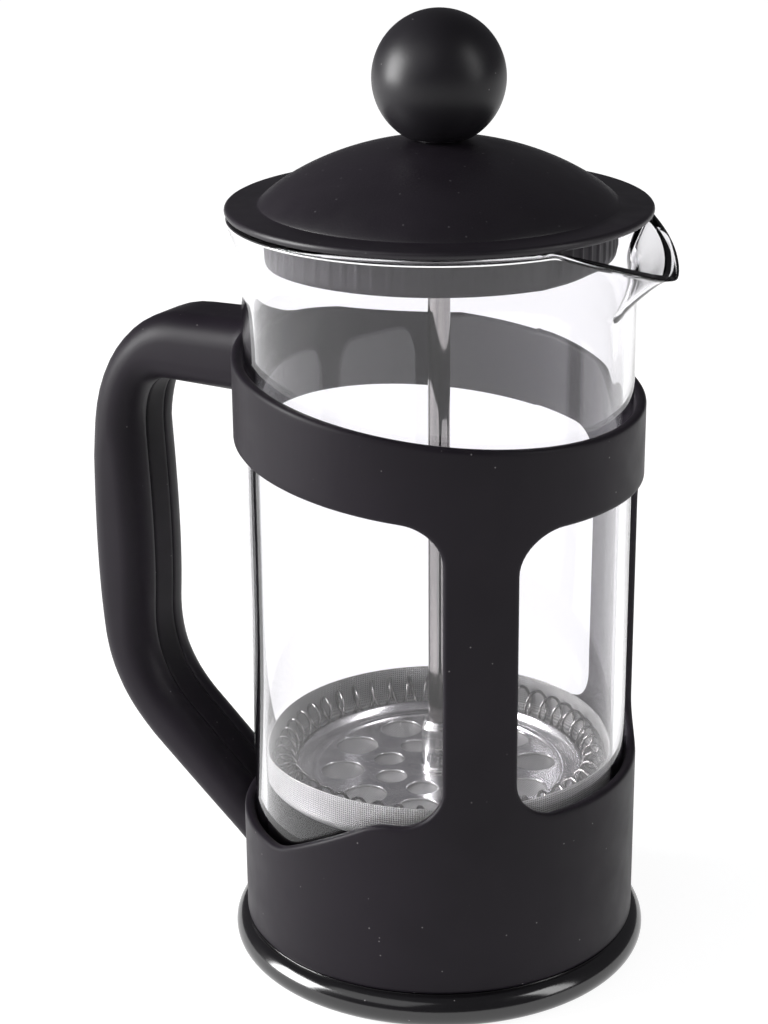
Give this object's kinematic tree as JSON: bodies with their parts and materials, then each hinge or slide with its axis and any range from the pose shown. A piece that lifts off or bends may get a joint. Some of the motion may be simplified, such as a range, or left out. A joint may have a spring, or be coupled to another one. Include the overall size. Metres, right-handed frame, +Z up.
{
  "type": "french press",
  "caption": "Small glass french press in a black plastic frame with loop handle, ball knob, lid and spring-edged mesh plunger.",
  "frame": {"origin": "on the beaker's axis, in the plane of the base ring's underside, where the press stands", "axes": "+Z up along the plunger rod; +X towards the pouring lip; the handle lies towards -X"},
  "size_m": [0.1204, 0.0784, 0.176],
  "materials": {
    "frame_plastic": "satin moulded black",
    "strip_plastic": "satin moulded black",
    "ring_plastic": "glossy black",
    "glass": "clear heat-resistant glass",
    "lid_plastic": "satin moulded black",
    "skirt_plastic": "satin moulded dark grey",
    "guide_plastic": "smooth black",
    "rod_steel": "polished stainless steel",
    "hub_steel": "turned stainless steel",
    "plate_steel": "pressed stainless sheet",
    "coil_steel": "bright spring wire",
    "mesh_steel": "fine woven steel wire",
    "knob_plastic": "polished black",
    "insert_brass": "turned brass"
  },
  "bodies": {
    "frame": {"frame": "frame_plastic", "handle_strip": "strip_plastic", "base_ring": "ring_plastic"},
    "beaker": {"glass_beaker": "glass"},
    "lid": {"lid_dome": "lid_plastic", "lid_skirt": "skirt_plastic", "rod_guide": "guide_plastic"},
    "plunger": {"plunger_rod": "rod_steel", "filter_hub": "hub_steel", "spring_plate": "plate_steel", "edge_spring": "coil_steel", "mesh_screen": "mesh_steel", "cross_plate": "plate_steel", "hub_nut": "hub_steel"},
    "knob": {"knob": "knob_plastic", "knob_insert": "insert_brass"}
  },
  "joints": [
    {"name": "beaker_lift", "type": "slide", "parent": "frame", "child": "beaker", "axis": [0, 0, 1], "range_m": [0, 0.09]},
    {"name": "lid_lift", "type": "slide", "parent": "beaker", "child": "lid", "axis": [0, 0, 1], "range_m": [0, 0.125]},
    {"name": "plunge", "type": "slide", "parent": "lid", "child": "plunger", "axis": [0, 0, 1], "range_m": [0, 0.0915]},
    {"name": "knob_turn", "type": "hinge", "parent": "plunger", "child": "knob", "pos_m": [0, 0, 0.158], "axis": [0, 0, 1], "continuous": true}
  ]
}
